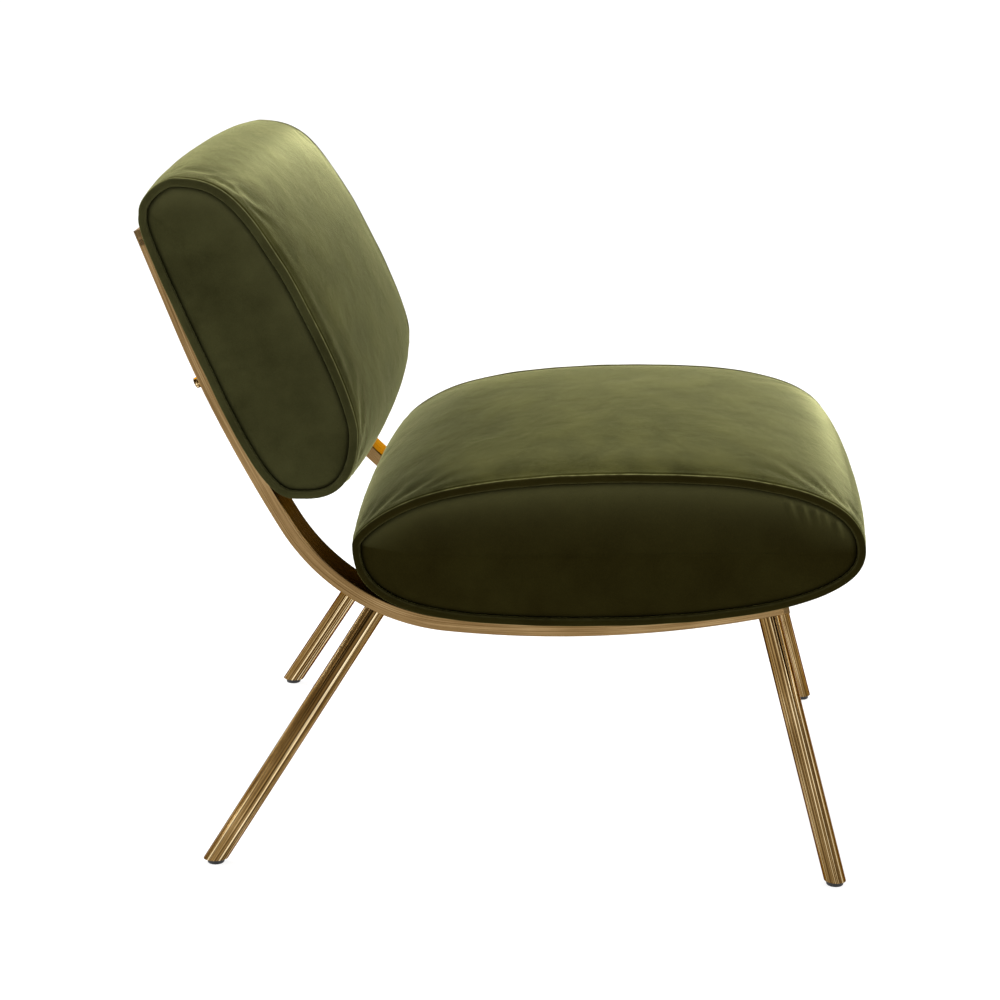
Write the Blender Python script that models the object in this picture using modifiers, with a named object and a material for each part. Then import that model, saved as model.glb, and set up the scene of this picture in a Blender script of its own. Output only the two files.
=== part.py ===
"""Armless upholstered chair on a bent flat-tube frame.

Two bent side rails carry a back cushion and a seat cushion. Each rail stands on
two splayed round legs with plastic glides. Frame: metres, +Z up, the chair faces
-Y, its symmetry plane is X = 0 and the floor is Z = 0.
"""
import bpy
import bmesh
from math import cos, pi, radians, sin
from mathutils import Euler, Matrix, Vector
from mathutils.geometry import interpolate_bezier

MM = 0.001
GAP = 0.3 * MM                      # clearance kept between touching pieces

# Side rails: flat tube bent in the Y-Z plane. The path runs along the outer (rear and
# lower) face, from the top end of the back down and forward to the front end.
RAIL_TOP = (368.6 * MM, 659.4 * MM)
RAIL_RAKE = radians(22)             # back leans this much from the vertical
RAIL_BENDS = (                      # (length, turn angle) of each stretch
    (108 * MM, 0.0),
    (104 * MM, radians(5.2)),
    (122 * MM, radians(4.3)),
    (209 * MM, radians(54.5)),
    (352 * MM, radians(18)),
)
RAIL_LENGTH = sum(length for length, turn in RAIL_BENDS)
RAIL_THICK = 15 * MM
RAIL_WIDTH = 50 * MM
RAIL_X = 244.5 * MM                 # mid-width of each rail from the symmetry plane
RAIL_EDGE = 1.5 * MM                # radius of the tube's corners

# Crossbars: flat bars between the rails, (start along the rail, name)
CROSSBARS = ((150 * MM, "back"), (600 * MM, "seat_rear"), (800 * MM, "seat_front"))
BAR_WIDTH = 40 * MM
BAR_LEVELS = (2 * MM, 12 * MM)      # from the rail's outer face

# Legs: round tube, each from a point on the rail's underside to the floor
LEG_RADIUS = 11 * MM
LEG_BORE = 9.5 * MM
LEG_FOOT_X = 292 * MM
LEGS = {                            # (y, z) at the rail and y at the floor
    "front": ((-274.1 * MM, 281.8 * MM), -354.6 * MM),
    "rear": ((124.9 * MM, 275.8 * MM), 295.4 * MM),
}
LEG_END = 5 * MM                    # the tube's lower end is cut level here
GLIDE_RADIUS = 8.5 * MM
GLIDE_STEM = 4.5 * MM

# Cushions: side outlines as closed Bezier curves, one knot a line:
# y, z, heading in degrees, handle behind, handle ahead
SEAT_OUTLINE = (
    (-181.1, 428.5, 180, 45, 68),
    (-369.1, 352, 270, 68, 70),
    (-41.1, 265, 0, 118, 100),
    (150.9, 345, 90, 74, 15),
    (88.9, 395, 158, 28, 86),
)
BACK_OUTLINE = (
    (323.9, 715, 180, 18, 50),
    (215.9, 628, 237, 76, 12),
    (143.9, 460, 270, 40, 12),
    (198.9, 391.5, 0, 56, 20),
    (288.9, 496.5, 65, 124, 200),
    (361.9, 680, 90, 14, 14),
)
OUTLINE_STEPS = 56
BODY_HALF = 269.5 * MM              # cover and foam reach the rails' outer faces
WELT_RADIUS = 4.4 * MM
WELT_X = 276 * MM
WELT_PROUD = 1.5 * MM               # the welt stands this much over the cover
PANEL_X = (270.2 * MM, 277 * MM)
COVER_THICK = 2.5 * MM
BOARD_THICK = 12 * MM
BOARDS = {"seat": (585 * MM, 862 * MM), "back": (40 * MM, 240 * MM)}
DUST_LEVELS = (13 * MM, 14.8 * MM)
DUST_HALF = 218 * MM

# Cushion bolts through the rails, with tee nuts in the boards
BOLTS = {                           # distance of each bolt along the rail
    "back": (166 * MM,),
    "seat": (625 * MM, 815 * MM),
}
BOLT_RADIUS = 4 * MM
BOLT_HEAD = (7.5 * MM, 4.5 * MM)    # radius and height of the button head
CAP_HEAD = (5.6 * MM, 9.5 * MM)     # radius and height of the back bolts' cap head
BOLT_HOLE = 4.3 * MM
TEE_FLANGE = (10 * MM, 1.6 * MM)
TEE_BARREL = 5 * MM

COVER_LEVEL = RAIL_THICK + 0.4 * MM                     # cover's face on the rails
BOARD_LEVEL = COVER_LEVEL + COVER_THICK + GAP
BOARD_TOP = BOARD_LEVEL + BOARD_THICK
BOLT_END = BOARD_TOP - TEE_FLANGE[1] - 1 * MM


# ---------------------------------------------------------------- scene and materials

def collection(name):
    made = bpy.data.collections.new(name)
    bpy.context.scene.collection.children.link(made)
    return made


def material(name, colour, roughness, metallic=0.0):
    made = bpy.data.materials.new(name)
    made.use_nodes = True
    shader = made.node_tree.nodes["Principled BSDF"]
    shader.inputs["Base Color"].default_value = (*colour, 1)
    shader.inputs["Roughness"].default_value = roughness
    shader.inputs["Metallic"].default_value = metallic
    return made


def add_object(name, data, paint):
    """Link a mesh or curve as one named piece of the chair."""
    made = bpy.data.objects.new(name, data)
    made.data.materials.append(paint)
    PARTS.objects.link(made)
    return made


def add_cutter(name, mesh):
    made = bpy.data.objects.new(name, mesh)
    made.hide_render = True
    made.display_type = "WIRE"
    CUTTERS.objects.link(made)
    return made


def cut(piece, cutter):
    boolean = piece.modifiers.new(cutter.name, "BOOLEAN")
    boolean.operation = "DIFFERENCE"
    boolean.object = cutter


# ---------------------------------------------------------------- the rail's path

def rail_station(distance):
    """Point (y, z) of the rail's outer face and the rail's heading from straight down."""
    y, z = RAIL_TOP
    heading = RAIL_RAKE
    left = distance
    for index, (length, turn) in enumerate(RAIL_BENDS):
        last = index == len(RAIL_BENDS) - 1
        run = left if last else min(left, length)
        if turn:
            radius = length / turn
            after = heading + run / radius
            y += radius * (cos(after) - cos(heading))
            z -= radius * (sin(after) - sin(heading))
            heading = after
        else:
            y -= run * sin(heading)
            z -= run * cos(heading)
        left -= run
        if left <= 0:
            break
    return y, z, heading


def rail_offset(distance, level):
    """Point (y, z) at a level above the outer face, towards the cushions."""
    y, z, heading = rail_station(distance)
    return y - level * cos(heading), z + level * sin(heading)


def rail_strip(start, end, low, high):
    """Outline of a strip that follows the rail between two levels."""
    steps = max(2, round((end - start) / (14 * MM)))
    stations = [start + (end - start) * step / steps for step in range(steps + 1)]
    lower = [rail_offset(station, low) for station in stations]
    upper = [rail_offset(station, high) for station in reversed(stations)]
    return lower + upper


def rail_frame(distance, x):
    """Matrix with its origin on the outer face and +Z pointing at the cushions."""
    y, z, heading = rail_station(distance)
    turn = Euler((pi / 2 - heading, 0, 0)).to_matrix().to_4x4()
    return Matrix.Translation((x, y, z)) @ turn


# ---------------------------------------------------------------- cushion outlines

def bezier_outline(knots):
    """Closed outline from Bezier knots, resampled at equal distances."""
    fine = []
    for knot, after in zip(knots, knots[1:] + knots[:1]):
        start = Vector(knot[:2])
        end = Vector(after[:2])
        ahead = Vector((cos(radians(knot[2])), sin(radians(knot[2])))) * knot[4]
        behind = Vector((cos(radians(after[2])), sin(radians(after[2])))) * after[3]
        points = interpolate_bezier(start, start + ahead, end - behind, end, 48)
        fine += [Vector((point.x, point.y)) * MM for point in points[:-1]]
    lengths = [(b - a).length for a, b in zip(fine, fine[1:] + fine[:1])]
    spacing = sum(lengths) / OUTLINE_STEPS
    outline = []
    travelled = 0.0
    for start, end, length in zip(fine, fine[1:] + fine[:1], lengths):
        while len(outline) * spacing < travelled + length and len(outline) < OUTLINE_STEPS:
            share = (len(outline) * spacing - travelled) / length
            outline.append(start.lerp(end, share))
        travelled += length
    return outline


def inset(outline, depth):
    """Outline moved inwards; outlines run anticlockwise seen from +X."""
    moved = []
    count = len(outline)
    for index, point in enumerate(outline):
        along = outline[(index + 1) % count] - outline[index - 1]
        inward = Vector((-along.y, along.x)).normalized()
        moved.append(point + inward * depth)
    return moved


def rest_on_rail(outline, level):
    """Outline pushed off the rail, so that no point lies below the given level."""
    overrun = 12 * MM
    stations = [RAIL_LENGTH * step / 400 for step in range(401)]
    faces = [Vector(rail_station(station)[:2]) for station in stations]
    rested = []
    for point in outline:
        nearest = min(range(401), key=lambda index: (faces[index] - point).length)
        heading = rail_station(stations[nearest])[2]
        inward = Vector((-cos(heading), sin(heading)))
        along = Vector((-sin(heading), -cos(heading)))
        reach = point - faces[nearest]
        beside = abs(reach.dot(along)) < overrun
        lift = level - reach.dot(inward)
        rested.append(point + inward * lift if beside and lift > 0 else point)
    return rested


# ---------------------------------------------------------------- solids

def extruded(name, outlines, x_low, x_high):
    """Mesh of flat outlines in the Y-Z plane, extruded along X."""
    curve = bpy.data.curves.new(name, "CURVE")
    curve.dimensions = "2D"
    curve.fill_mode = "BOTH"
    curve.extrude = (x_high - x_low) / 2
    for outline in outlines:
        spline = curve.splines.new("POLY")
        spline.points.add(len(outline) - 1)
        for target, point in zip(spline.points, outline):
            target.co = (point[0], point[1], 0, 1)
        spline.use_cyclic_u = True
    holder = bpy.data.objects.new(name, curve)
    bpy.context.scene.collection.objects.link(holder)
    bpy.context.view_layer.update()
    evaluated = holder.evaluated_get(bpy.context.evaluated_depsgraph_get())
    mesh = bpy.data.meshes.new_from_object(evaluated)
    mesh.materials.clear()
    bpy.data.objects.remove(holder)
    shape = bmesh.new()
    shape.from_mesh(mesh)
    bmesh.ops.remove_doubles(shape, verts=shape.verts, dist=0.00001)
    bmesh.ops.dissolve_limit(shape, angle_limit=radians(0.5), verts=shape.verts, edges=shape.edges)
    to_side = Euler((pi / 2, 0, pi / 2)).to_matrix().to_4x4()
    middle = Matrix.Translation(((x_low + x_high) / 2, 0, 0))
    bmesh.ops.transform(shape, matrix=middle @ to_side, verts=shape.verts)
    bmesh.ops.recalc_face_normals(shape, faces=shape.faces)
    shape.to_mesh(mesh)
    shape.free()
    return mesh


def cylinder(name, radius, low, high, frame, sides=24):
    """Mesh of a cylinder between two heights of a frame's Z axis."""
    shape = bmesh.new()
    placed = frame @ Matrix.Translation((0, 0, (low + high) / 2))
    bmesh.ops.create_cone(
        shape, cap_ends=True, segments=sides, radius1=radius, radius2=radius,
        depth=high - low, matrix=placed,
    )
    mesh = bpy.data.meshes.new(name)
    shape.to_mesh(mesh)
    shape.free()
    return mesh


def turned(name, profile, paint, frame, sides=16):
    """Piece turned about its Z axis from (radius, height) points, top to bottom."""
    mesh = bpy.data.meshes.new(name)
    shape = bmesh.new()
    corners = [shape.verts.new((radius, 0, height)) for radius, height in profile]
    for start, end in zip(corners, corners[1:]):
        shape.edges.new((start, end))
    shape.to_mesh(mesh)
    shape.free()
    piece = add_object(name, mesh, paint)
    piece.matrix_world = frame
    screw = piece.modifiers.new("turn", "SCREW")
    screw.steps = sides
    screw.render_steps = sides
    screw.use_merge_vertices = True
    screw.merge_threshold = 0.00001
    return piece


def round_edges(piece, width):
    bevel = piece.modifiers.new("edges", "BEVEL")
    bevel.width = width
    bevel.segments = 1
    bevel.limit_method = "ANGLE"
    bevel.angle_limit = radians(40)


# ---------------------------------------------------------------- metal frame

def add_rails():
    outline = rail_strip(0, RAIL_LENGTH, 0, RAIL_THICK)
    for side, label in SIDES:
        edges = sorted((side * (RAIL_X - RAIL_WIDTH / 2), side * (RAIL_X + RAIL_WIDTH / 2)))
        name = f"side_rail_{label}"
        rail = add_object(name, extruded(name, [outline], *edges), BRASS)
        round_edges(rail, RAIL_EDGE)
        for cushion, distances in BOLTS.items():
            for number, distance in enumerate(distances):
                frame = rail_frame(distance, side * RAIL_X)
                drill = cylinder("hole", BOLT_HOLE, -5 * MM, 20 * MM, frame, 12)
                cut(rail, add_cutter(f"hole_{name}_{cushion}_{number}", drill))


def add_crossbars():
    half = RAIL_X - RAIL_WIDTH / 2 - GAP
    for start, label in CROSSBARS:
        name = f"crossbar_{label}"
        outline = rail_strip(start, start + BAR_WIDTH, *BAR_LEVELS)
        add_object(name, extruded(name, [outline], -half, half), BRASS)


def add_legs():
    clear = extruded("rail_clearance", [rail_strip(0, RAIL_LENGTH, -GAP, RAIL_THICK)], -1, 1)
    rails = add_cutter("rail_clearance", clear)
    floor = cylinder("floor", 1, -0.5, LEG_END, Matrix(), 8)
    floor = add_cutter("floor_cut", floor)
    for side, label in SIDES:
        for end, ((top_y, top_z), foot_y) in LEGS.items():
            foot = Vector((side * LEG_FOOT_X, foot_y, 0))
            top = Vector((side * RAIL_X, top_y, top_z))
            along = top - foot
            turn = along.to_track_quat("Z", "X").to_matrix().to_4x4()
            frame = Matrix.Translation(foot) @ turn
            name = f"leg_{end}_{label}"
            reach = along.length + RAIL_THICK / 2
            leg = add_object(name, cylinder(name, LEG_RADIUS, -20 * MM, reach, frame), BRIGHT)
            leg.data.shade_smooth()
            leg.data.set_sharp_from_angle(angle=radians(40))
            bore = cylinder("bore", LEG_BORE, -40 * MM, reach + 20 * MM, frame)
            cut(leg, add_cutter(f"bore_{name}", bore))
            cut(leg, rails)
            cut(leg, floor)
            add_glide(f"glide_{end}_{label}", foot + along * (LEG_END / top_z))


def add_glide(name, centre):
    profile = (
        (0, LEG_END + 7 * MM),
        (GLIDE_STEM, LEG_END + 7 * MM),
        (GLIDE_STEM, LEG_END - GAP),
        (GLIDE_RADIUS, LEG_END - GAP),
        (GLIDE_RADIUS, 1.2 * MM),
        (GLIDE_RADIUS - 1.2 * MM, 0),
        (0, 0),
    )
    turned(name, profile, PLASTIC, Matrix.Translation((centre.x, centre.y, 0)))


# ---------------------------------------------------------------- fasteners

def add_bolt(name, distance, x):
    """Bolt with its head on the rail's outer face and its end in the tee nut."""
    if "back" in name:
        head_radius, head_height = CAP_HEAD
        top = -GAP - head_height
        dome = [(head_radius, top + 0.8 * MM), (head_radius - 0.8 * MM, top), (0, top)]
    else:
        head_radius, head_height = BOLT_HEAD
        dome = [
            (head_radius * sin(angle), -GAP - head_height * (0.3 + 0.7 * cos(angle)))
            for angle in (radians(step) for step in (90, 70, 50, 30, 0))
        ]
    profile = [
        (0, BOLT_END),
        (BOLT_RADIUS - 0.8 * MM, BOLT_END),
        (BOLT_RADIUS, BOLT_END - 0.8 * MM),
        (BOLT_RADIUS, -GAP),
        (head_radius, -GAP),
        *dome,
    ]
    frame = rail_frame(distance, x)
    bolt = turned(name, profile, BRIGHT, frame, 12)
    socket = cylinder("socket", 2.5 * MM, -15 * MM, -head_height + 2.2 * MM, frame, 6)
    cut(bolt, add_cutter(f"socket_{name}", socket))


def add_tee_nut(name, distance, x):
    """Tee nut set in the board: a flange over a plain barrel."""
    flange_radius, flange_thick = TEE_FLANGE
    under = BOARD_TOP - flange_thick
    profile = (
        (BOLT_HOLE, BOARD_TOP),
        (flange_radius, BOARD_TOP),
        (flange_radius, under),
        (TEE_BARREL, under),
        (TEE_BARREL, BOARD_LEVEL + 1 * MM),
        (BOLT_HOLE, BOARD_LEVEL + 1 * MM),
        (BOLT_HOLE, BOARD_TOP),
    )
    turned(name, profile, STEEL, rail_frame(distance, x), 12)


# ---------------------------------------------------------------- cushions

def drill_cushion(cushion, cover, board):
    """Bolt holes in a cushion's cover, and holes with flange seats in its board."""
    flange_radius, flange_thick = TEE_FLANGE
    for side, label in SIDES:
        for number, distance in enumerate(BOLTS[cushion]):
            frame = rail_frame(distance, side * RAIL_X)
            tag = f"{cushion}_{number}_{label}"
            through = cylinder("through", TEE_BARREL + GAP, 0, BOARD_TOP + 5 * MM, frame, 12)
            through = add_cutter(f"bolt_hole_{tag}", through)
            seat_low = BOARD_TOP - flange_thick - GAP
            seat = cylinder("seat", flange_radius + GAP, seat_low, BOARD_TOP + 5 * MM, frame, 12)
            cut(cover, through)
            cut(board, through)
            cut(board, add_cutter(f"flange_seat_{tag}", seat))
            number_label = ("rear", "front")[number] + "_" if len(BOLTS[cushion]) > 1 else ""
            add_bolt(f"bolt_{cushion}_{number_label}{label}", distance, side * RAIL_X)
            add_tee_nut(f"tee_nut_{cushion}_{number_label}{label}", distance, side * RAIL_X)


def add_cushion(cushion, knots):
    """Board, foam, cover band, two side panels and two welts of one cushion."""
    rim = bezier_outline(knots)
    outer = rest_on_rail(inset(rim, WELT_PROUD), COVER_LEVEL)
    inner = inset(outer, COVER_THICK)
    start, end = BOARDS[cushion]

    name = f"{cushion}_cover"
    cover = add_object(name, extruded(name, [outer, inner], -BODY_HALF, BODY_HALF), VELVET)

    name = f"{cushion}_board"
    half = BODY_HALF - 4 * MM
    outline = rail_strip(start, end, BOARD_LEVEL, BOARD_TOP)
    board = add_object(name, extruded(name, [outline], -half, half), PLYWOOD)

    name = f"{cushion}_foam"
    half = BODY_HALF - 0.7 * MM
    foam = add_object(name, extruded(name, [inset(inner, GAP)], -half, half), FOAM)
    pocket = rail_strip(start - GAP, end + GAP, 0, BOARD_TOP + GAP)
    pocket = extruded("pocket", [pocket], -0.4, 0.4)
    cut(foam, add_cutter(f"board_pocket_{cushion}", pocket))

    for side, label in SIDES:
        name = f"{cushion}_side_panel_{label}"
        faces = sorted((side * PANEL_X[0], side * PANEL_X[1]))
        outline = inset(rim, 2 * WELT_RADIUS + 0.6 * MM)
        panel = add_object(name, extruded(name, [outline], *faces), VELVET)
        round_edges(panel, 2.5 * MM)
        add_welt(f"{cushion}_welt_{label}", inset(rim, WELT_RADIUS), side * WELT_X)
    drill_cushion(cushion, cover, board)


def add_welt(name, outline, x):
    """Piped seam: a closed round cord along the cushion's side outline."""
    curve = bpy.data.curves.new(name, "CURVE")
    curve.dimensions = "3D"
    curve.bevel_depth = WELT_RADIUS
    curve.bevel_resolution = 2
    spline = curve.splines.new("POLY")
    spline.points.add(len(outline) - 1)
    for target, point in zip(spline.points, outline):
        target.co = (x, point[0], point[1], 1)
    spline.use_cyclic_u = True
    add_object(name, curve, VELVET)


def add_dust_cover():
    """Thin cloth stapled under the seat, between the rails and above the crossbars."""
    start, end = BOARDS["seat"]
    outline = rail_strip(start, end, *DUST_LEVELS)
    mesh = extruded("seat_dust_cover", [outline], -DUST_HALF, DUST_HALF)
    add_object("seat_dust_cover", mesh, CLOTH)


# ---------------------------------------------------------------- assembly

for old in list(bpy.data.objects):
    bpy.data.objects.remove(old)

PARTS = collection("upholstered_chair")
CUTTERS = collection("cutters")
SIDES = ((-1, "right"), (1, "left"))

BRASS = material("brushed_brass", (0.47, 0.34, 0.19), 0.35, 1.0)
BRIGHT = material("polished_brass", (0.62, 0.44, 0.22), 0.15, 1.0)
VELVET = material("olive_velvet", (0.13, 0.14, 0.05), 0.9)
PLASTIC = material("black_plastic", (0.02, 0.02, 0.02), 0.5)
PLYWOOD = material("plywood", (0.55, 0.38, 0.22), 0.7)
FOAM = material("foam", (0.80, 0.76, 0.60), 0.95)
STEEL = material("zinc_steel", (0.60, 0.60, 0.62), 0.35, 1.0)
CLOTH = material("black_cloth", (0.02, 0.02, 0.02), 0.95)

add_rails()
add_crossbars()
add_legs()
add_cushion("seat", SEAT_OUTLINE)
add_cushion("back", BACK_OUTLINE)
add_dust_cover()
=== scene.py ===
from math import cos, exp, pi, radians, sin

import bmesh
import bpy
from mathutils import Euler, Matrix, Vector, noise
from mathutils.geometry import interpolate_bezier


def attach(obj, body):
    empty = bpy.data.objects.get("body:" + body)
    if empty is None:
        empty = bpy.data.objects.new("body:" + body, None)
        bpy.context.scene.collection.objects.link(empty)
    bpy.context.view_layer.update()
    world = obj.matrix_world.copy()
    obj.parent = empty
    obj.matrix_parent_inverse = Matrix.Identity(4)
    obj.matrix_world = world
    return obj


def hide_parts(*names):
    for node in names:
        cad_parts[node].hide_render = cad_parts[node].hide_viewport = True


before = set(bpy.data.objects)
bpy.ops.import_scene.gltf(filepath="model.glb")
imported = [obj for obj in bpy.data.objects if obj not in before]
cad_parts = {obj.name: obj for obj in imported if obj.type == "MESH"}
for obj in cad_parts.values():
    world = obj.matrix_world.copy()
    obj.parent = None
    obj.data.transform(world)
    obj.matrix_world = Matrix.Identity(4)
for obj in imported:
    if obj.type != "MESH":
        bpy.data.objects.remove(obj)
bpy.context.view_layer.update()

# ---------------------------------------------------------------- studio
# A pale floor that runs on past the view, a large soft light behind and above the chair, a
# weak one by its front, and a dim room with tall soft boxes round it and a pale ceiling.

FLOOR_HALF = 60.0
FLOOR_TONE = 0.25
FLOOR_GLOW = 0.88
ROOM = 0.10                             # how bright the dim room is
OVERHEAD = 1.12                         # how bright the ceiling is
CEILING = (0.60, 0.85)                  # heights on the sky's ball, from where it starts to full
STRIP_TOP = (0.62, 0.50)
BACKDROP_TOP = (0.055, 0.045)           # a pale wall low down all round, so the floor has no edge
STRIP_BLUR = 0.6                        # degrees
STRIPS = (                              # tall soft boxes: middle and width in degrees, strength
    (-150, 8, 1.5), (-118, 5, 5.0), (-104, 3, 2.0), (-82, 12, 3.2), (-60, 4, 6.0), (-40, 8, 2.0),
    (-12, 5, 5.5), (10, 10, 1.6), (33, 4, 6.0), (52, 7, 3.0), (70, 3, 7.0), (84, 5, 1.2),
    (97, 3, 7.0), (112, 6, 3.0), (128, 3, 6.0), (150, 4, 1.0),
)

bm = bmesh.new()
bmesh.ops.create_grid(bm, x_segments=2, y_segments=2, size=FLOOR_HALF)
floor_mesh = bpy.data.meshes.new("floor")
bm.to_mesh(floor_mesh)
bm.free()
floor = bpy.data.objects.new("floor", floor_mesh)
bpy.context.scene.collection.objects.link(floor)
paint = bpy.data.materials.new("floor_paint")
paint.use_nodes = True
floor_shader = paint.node_tree.nodes["Principled BSDF"]
floor_shader.inputs["Base Color"].default_value = (FLOOR_TONE, FLOOR_TONE, FLOOR_TONE, 1)
floor_shader.inputs["Roughness"].default_value = 0.95
floor_shader.inputs["Specular IOR Level"].default_value = 0.0
floor_shader.inputs["Emission Color"].default_value = (1, 1, 1, 1)
floor_shader.inputs["Emission Strength"].default_value = FLOOR_GLOW
floor_mesh.materials.append(paint)


def soft_light(name, place, aim, width, height, power, colour=(1, 1, 1)):
    lamp = bpy.data.lights.new(name, "AREA")
    lamp.shape = "RECTANGLE"
    lamp.size = width
    lamp.size_y = height
    lamp.energy = power
    lamp.color = colour
    holder = bpy.data.objects.new(name, lamp)
    holder.location = place
    holder.rotation_euler = (Vector(aim) - Vector(place)).to_track_quat("-Z", "Y").to_euler()
    bpy.context.scene.collection.objects.link(holder)


soft_light("key_light", (0.9, -1.25, 1.25), (0, -0.2, 0.4), 0.8, 0.7, 5.5, (1, 0.99, 0.96))
soft_light("top_light", (1.1, 1.75, 2.5), (0, -0.1, 0.4), 1.2, 1.1, 145)

sky = bpy.data.worlds.new("sky")
bpy.context.scene.world = sky
sky.use_nodes = True
nodes = sky.node_tree.nodes
links = sky.node_tree.links
heading = nodes.new("ShaderNodeTexCoord")
parts = nodes.new("ShaderNodeSeparateXYZ")
links.new(heading.outputs["Generated"], parts.inputs["Vector"])


def sky_sum(kind, first, second):
    node = nodes.new("ShaderNodeMath")
    node.operation = kind
    for socket, value in zip(node.inputs, (first, second)):
        if isinstance(value, bpy.types.NodeSocket):
            links.new(value, socket)
        else:
            socket.default_value = value
    return node.outputs["Value"]


def sky_step(value, low, high, start=0.0, end=1.0):
    node = nodes.new("ShaderNodeMapRange")
    node.interpolation_type = "SMOOTHSTEP"
    for name, number in (("From Min", low), ("From Max", high), ("To Min", start), ("To Max", end)):
        node.inputs[name].default_value = number
    links.new(value, node.inputs["Value"])
    return node.outputs["Result"]


bearing = sky_sum("ARCTAN2", parts.outputs["Y"], parts.outputs["X"])
walls = ROOM
for middle, width, strength in STRIPS:
    off = sky_sum("ABSOLUTE", sky_sum("SUBTRACT", bearing, radians(middle)), 0.0)
    outer, inner = radians(width * 0.5 + STRIP_BLUR), radians(width * 0.5 - STRIP_BLUR)
    strip = sky_step(off, outer, inner, 0.0, strength)
    walls = sky_sum("ADD", walls, strip)
walls = sky_sum("MULTIPLY", walls, sky_step(parts.outputs["Z"], *STRIP_TOP))
walls = sky_sum("ADD", walls, sky_step(parts.outputs["Z"], *BACKDROP_TOP))
ceiling = sky_step(parts.outputs["Z"], *CEILING, ROOM, OVERHEAD)
links.new(sky_sum("ADD", walls, ceiling), nodes["Background"].inputs["Strength"])
nodes["Background"].inputs["Color"].default_value = (1, 1, 1, 1)

lens = bpy.data.cameras.new("camera")
lens.lens = 88.2
lens.sensor_width = 36
camera = bpy.data.objects.new("camera", lens)
camera.location = (-2.6599, -0.1307, 1.0252)
camera.rotation_euler = (radians(75.2545), radians(-0.7971), radians(-86.6449))
bpy.context.scene.collection.objects.link(camera)
bpy.context.scene.camera = camera
bpy.context.scene.view_settings.view_transform = "Standard"

# ---------------------------------------------------------------- side rails
# Each side of the chair is one flat steel tube, 50 by 15 mm, bent in its side plane from
# the top of the back to the front of the seat. It is brushed along its length, brass
# plated and aged. Its two ends are closed with welded plates.

SIDES = ((-1, "right"), (1, "left"))
RAIL_TOP = (0.3686, 0.6594)             # y and z of the outer face's top end
RAIL_RAKE = radians(22)
RAIL_BENDS = (                          # length, turn and steps of each stretch
    (0.108, 0.0, 6),
    (0.104, radians(5.2), 10),
    (0.122, radians(4.3), 10),
    (0.209, radians(54.5), 36),
    (0.352, radians(18), 28),
)
RAIL_LENGTH = sum(stretch[0] for stretch in RAIL_BENDS)
RAIL_X = 0.2445
RAIL_WIDTH = 0.050
RAIL_THICK = 0.015
RAIL_EDGE = 0.0016
RAIL_STEPS = 500
GRAIN_ALONG_RAIL = 0.006                # the brushing is stretched this much along the rail
MERGE_WITHIN = 0.000002


def rail_place(distance, x=0.0):
    """Frame on the rail's outer face, its Z towards the cushions and its Y back up the rail."""
    y, z = RAIL_TOP
    lean = RAIL_RAKE
    for number, (length, turn, _) in enumerate(RAIL_BENDS):
        last = number == len(RAIL_BENDS) - 1
        run = distance if last else min(distance, length)
        if turn:
            radius = length / turn
            after = lean + run / radius
            y += radius * (cos(after) - cos(lean))
            z -= radius * (sin(after) - sin(lean))
            lean = after
        else:
            y -= run * sin(lean)
            z -= run * cos(lean)
        distance -= run
        if distance <= 0:
            break
    return Matrix.Translation((x, y, z)) @ Euler((pi / 2 - lean, 0, 0)).to_matrix().to_4x4()


RAIL_STATIONS = [
    (step * RAIL_LENGTH / RAIL_STEPS, rail_place(step * RAIL_LENGTH / RAIL_STEPS))
    for step in range(RAIL_STEPS + 1)
]


def on_rail(point):
    """How far along the rail a point lies, and how high over its outer face."""
    flat = Vector((0, point[1], point[2]))
    distance, place = min(
        RAIL_STATIONS, key=lambda station: (station[1].translation - flat).length_squared
    )
    local = place.inverted() @ flat
    return distance - local.y, local.z


def finish_piece(name, shape, paint, smooth=True, tidy=True):
    """Turn a bmesh into a piece of the chair that rides on its one body."""
    if tidy:
        bmesh.ops.remove_doubles(shape, verts=shape.verts, dist=MERGE_WITHIN)
        inner = [
            face for face in shape.faces if all(len(edge.link_faces) > 2 for edge in face.edges)
        ]
        bmesh.ops.delete(shape, geom=inner, context="FACES_ONLY")
        bmesh.ops.recalc_face_normals(shape, faces=shape.faces)
    mesh = bpy.data.meshes.new(name)
    shape.to_mesh(mesh)
    shape.free()
    if smooth:
        mesh.shade_smooth()
    mesh.materials.append(paint)
    piece = bpy.data.objects.new(name, mesh)
    bpy.context.scene.collection.objects.link(piece)
    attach(piece, "root")
    return piece


def even_flats(piece):
    """Keep large flats flat in the shading, and let the rounded edges carry the turn."""
    weigh = piece.modifiers.new("even_flats", "WEIGHTED_NORMAL")
    weigh.weight = 50


def keep_grain(piece, local):
    """Store where the brushing runs: two coordinates across it, and one along it."""
    grain = piece.data.attributes.new("grain", "FLOAT_VECTOR", "POINT")
    for vertex, value in zip(piece.data.vertices, grain.data):
        value.vector = local(vertex.co)


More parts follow.
